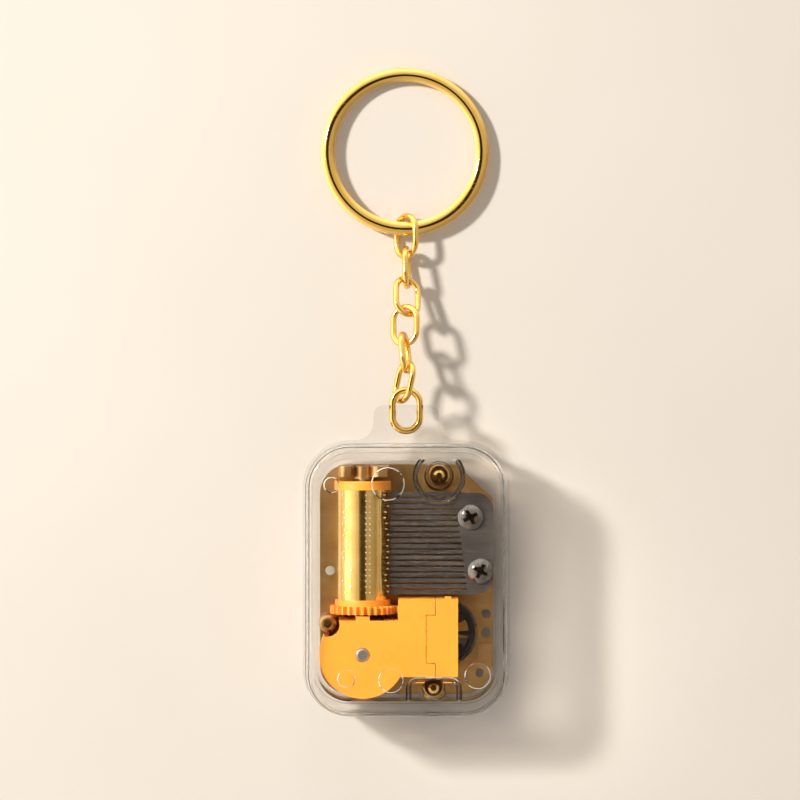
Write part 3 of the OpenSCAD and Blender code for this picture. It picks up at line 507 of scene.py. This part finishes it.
# %% [markdown]
# ## Rounded edges
#
# No real edge is perfectly sharp: even a tight one catches a thin line of light. The CAD
# meshes come with split vertices, so Weld joins them first, then Bevel rounds every edge
# that turns by more than 35 degrees. The modifiers leave the mesh itself alone, where
# rounding by hand would have to be done again after each change. Harden Normals keeps the
# flat faces flat.

# %% Weld, bevel and smooth
WELD_METRES = 0.000002
BEVEL_SEGMENTS = 2
BEVEL_ANGLE = math.radians(35)
USUAL_EDGE = 0.03
EDGE_WIDTH = {
    "front_cover": 0.15, "rear_cover": 0.15, "bedplate": 0.12, "movement_cover": 0.16,
    "governor_cover": 0.12, "comb": 0.05, "comb_screws": 0.1, "cylinder_end_cap": 0.12,
    "cylinder_gear": 0.06, "winding_arbor": 0.12, "spring_barrel": 0.05, "cover_screws": 0.08,
    "governor_disc": 0.08, "key_hub": 0.2, "cylinder_tube": 0.06,
}


def soften_edges(node, width):
    """Rounds a node's edges to a width in mm."""
    mesh = node.data
    custom = mesh.attributes.get("custom_normal")
    if custom is not None:
        mesh.attributes.remove(custom)
    mesh.shade_smooth()
    weld = node.modifiers.new("weld", "WELD")
    weld.merge_threshold = WELD_METRES
    bevel = node.modifiers.new("bevel", "BEVEL")
    bevel.width = width * MM
    bevel.segments = BEVEL_SEGMENTS
    bevel.limit_method = "ANGLE"
    bevel.angle_limit = BEVEL_ANGLE
    bevel.use_clamp_overlap = True
    bevel.harden_normals = True
    bevel.miter_outer = "MITER_ARC"


for name, node in nodes.items():
    soften_edges(node, EDGE_WIDTH.get(name, USUAL_EDGE))
print("edges rounded on", len(nodes), "nodes")

# %% [markdown] ## Table  A plain pale sheet lies under the object. A plane primitive would
# do, but four corners written out show the size at once. It lies a hair below the case, so
# the two faces don't fight in the render.

# %% Pale table
TABLE_HALF_METRES = 1.5
TABLE_GAP_METRES = 0.00002
TABLE_SHADE = (0.8, 0.735, 0.66, 1)
TABLE_TINT = (0.83, 0.77, 0.7, 1)


def make_table_finish():
    material, tree, shader, place = new_finish("pale_table")
    cloud = tree.spread(tree.noise(place, scale=14), low=0.3, high=0.7)
    tree.fill(shader, Base_Color=tree.mix(cloud, TABLE_SHADE, TABLE_TINT), Roughness=0.75)
    bump_from(tree, shader, tree.noise(place, scale=2500, detail=2.0), strength=0.04)
    return material


table_mesh = bpy.data.meshes.new("table")
signs = ((-1, -1), (1, -1), (1, 1), (-1, 1))
corners = [(x * TABLE_HALF_METRES, y * TABLE_HALF_METRES, 0) for x, y in signs]
table_mesh.from_pydata(corners, [], [(0, 1, 2, 3)])
table = bpy.data.objects.new("table", table_mesh)
table.location.z = cad_box[0][2] - TABLE_GAP_METRES
table.data.materials.append(make_table_finish())
bpy.context.scene.collection.objects.link(table)
print("table at z", round(table.location.z / MM, 3), "mm")

# %% [markdown]
# ## Light
#
# One softbox at the upper left gives the long soft shadow to the lower right. A sun lamp
# would do as well, but a softbox also shows up as a round highlight in polished metal.

# %% Softbox
KEY_SIDE = Vector((-19, 9.9, 19.5)).normalized()
KEY_AIM_Y = 30
KEY_DISTANCE = 900
KEY_SIZE = 110
KEY_WATTS = 8.2
KEY_COLOUR = (1.0, 0.955, 0.89)

lamp = bpy.data.lights.new("key_light", "AREA")
lamp.shape = "DISK"
lamp.size = KEY_SIZE * MM
lamp.energy = KEY_WATTS
lamp.color = KEY_COLOUR
key_light = bpy.data.objects.new("key_light", lamp)
key_light.location = Vector((0, KEY_AIM_Y * MM, 0)) + KEY_SIDE * KEY_DISTANCE * MM
key_light.rotation_euler = KEY_SIDE.to_track_quat("Z", "Y").to_euler()
bpy.context.scene.collection.objects.link(key_light)
print("softbox at", [round(v, 3) for v in key_light.location])

# %% [markdown]
# ## Surroundings
#
# A studio does two jobs, so the world holds two pictures. Matt surfaces get an even warm
# fill. Glossy rays get a room: bright walls to the upper left, dimmer ones opposite, and a
# small dark patch overhead where a camera would stand. Light Path tells the two apart. Real
# panels around the object would do the same, but each would also throw light and shadow.

# %% Surroundings
FILL = (0.43, 0.41, 0.385, 1)
WALL_DIM = (0.42, 0.34, 0.26, 1)
WALL_BRIGHT = (2.1, 1.95, 1.75, 1)
CEILING_DIM = (0.42, 0.36, 0.29, 1)
CEILING_BRIGHT = (0.9, 0.8, 0.68, 1)
TABLE_SEEN = (0.8, 0.74, 0.66, 1)
PATCH_DARK = (0.035, 0.022, 0.012, 1)
PATCH_CENTRE = 0.1
PATCH_LONG = 0.42
PATCH_SHORT = 0.2

world = bpy.data.worlds.new("surroundings")
bpy.context.scene.world = world
world.use_nodes = True
sky = Tree(world.node_tree)
direction = sky.add("ShaderNodeTexCoord").outputs["Generated"]


def along(x, y, z):
    """How far a ray's direction runs along one way."""
    node = sky.add("ShaderNodeVectorMath", operation="DOT_PRODUCT")
    sky.put(direction, node.inputs[0])
    sky.put(Vector((x, y, z)).normalized(), node.inputs[1])
    return node.outputs["Value"]


height = along(0, 0, 1)
toward_key = along(-1, 0.7, 0)
across_key = along(0.7, 1, 0)
side = sky.spread(toward_key, low=-0.7, high=0.7)
walls = sky.mix(side, WALL_DIM, WALL_BRIGHT)
ceiling = sky.mix(side, CEILING_DIM, CEILING_BRIGHT)
room = sky.mix(sky.spread(height, low=0.45, high=0.9), walls, ceiling)
room_and_table = sky.mix(sky.spread(height, low=-0.05, high=0.05), TABLE_SEEN, room)
print("room of", len(sky.tree.nodes), "nodes")

# %% [markdown]
# The dark patch is an oval: its long way and its short way are each measured in their own
# half-widths, and the sum of the squares is 1 on its rim. The rim is soft, so that no hard
# line shows up in the polished ring. The gloss switch then joins the room and the fill.

# %% Dark patch, and both pictures joined
long_way = sky.math("DIVIDE", sky.math("SUBTRACT", toward_key, PATCH_CENTRE), PATCH_LONG)
short_way = sky.math("DIVIDE", across_key, PATCH_SHORT)
long_square = sky.math("MULTIPLY", long_way, long_way)
short_square = sky.math("MULTIPLY", short_way, short_way)
in_oval = sky.spread(sky.math("ADD", long_square, short_square), low=1.3, high=0.7)
overhead = sky.math("MULTIPLY", in_oval, sky.spread(height, low=0.3, high=0.5))
seen = sky.mix(overhead, room_and_table, PATCH_DARK)
gloss = sky.add("ShaderNodeLightPath").outputs["Is Glossy Ray"]
background = world.node_tree.nodes["Background"]
sky.fill(background, Color=sky.mix(gloss, FILL, seen), Strength=1.0)
bpy.context.scene.view_settings.view_transform = "Standard"
print("world:", world.name)

# %% [markdown]
# ## Measure and finish
#
# The CAD box is measured once, near the top, and the table takes its height from it.
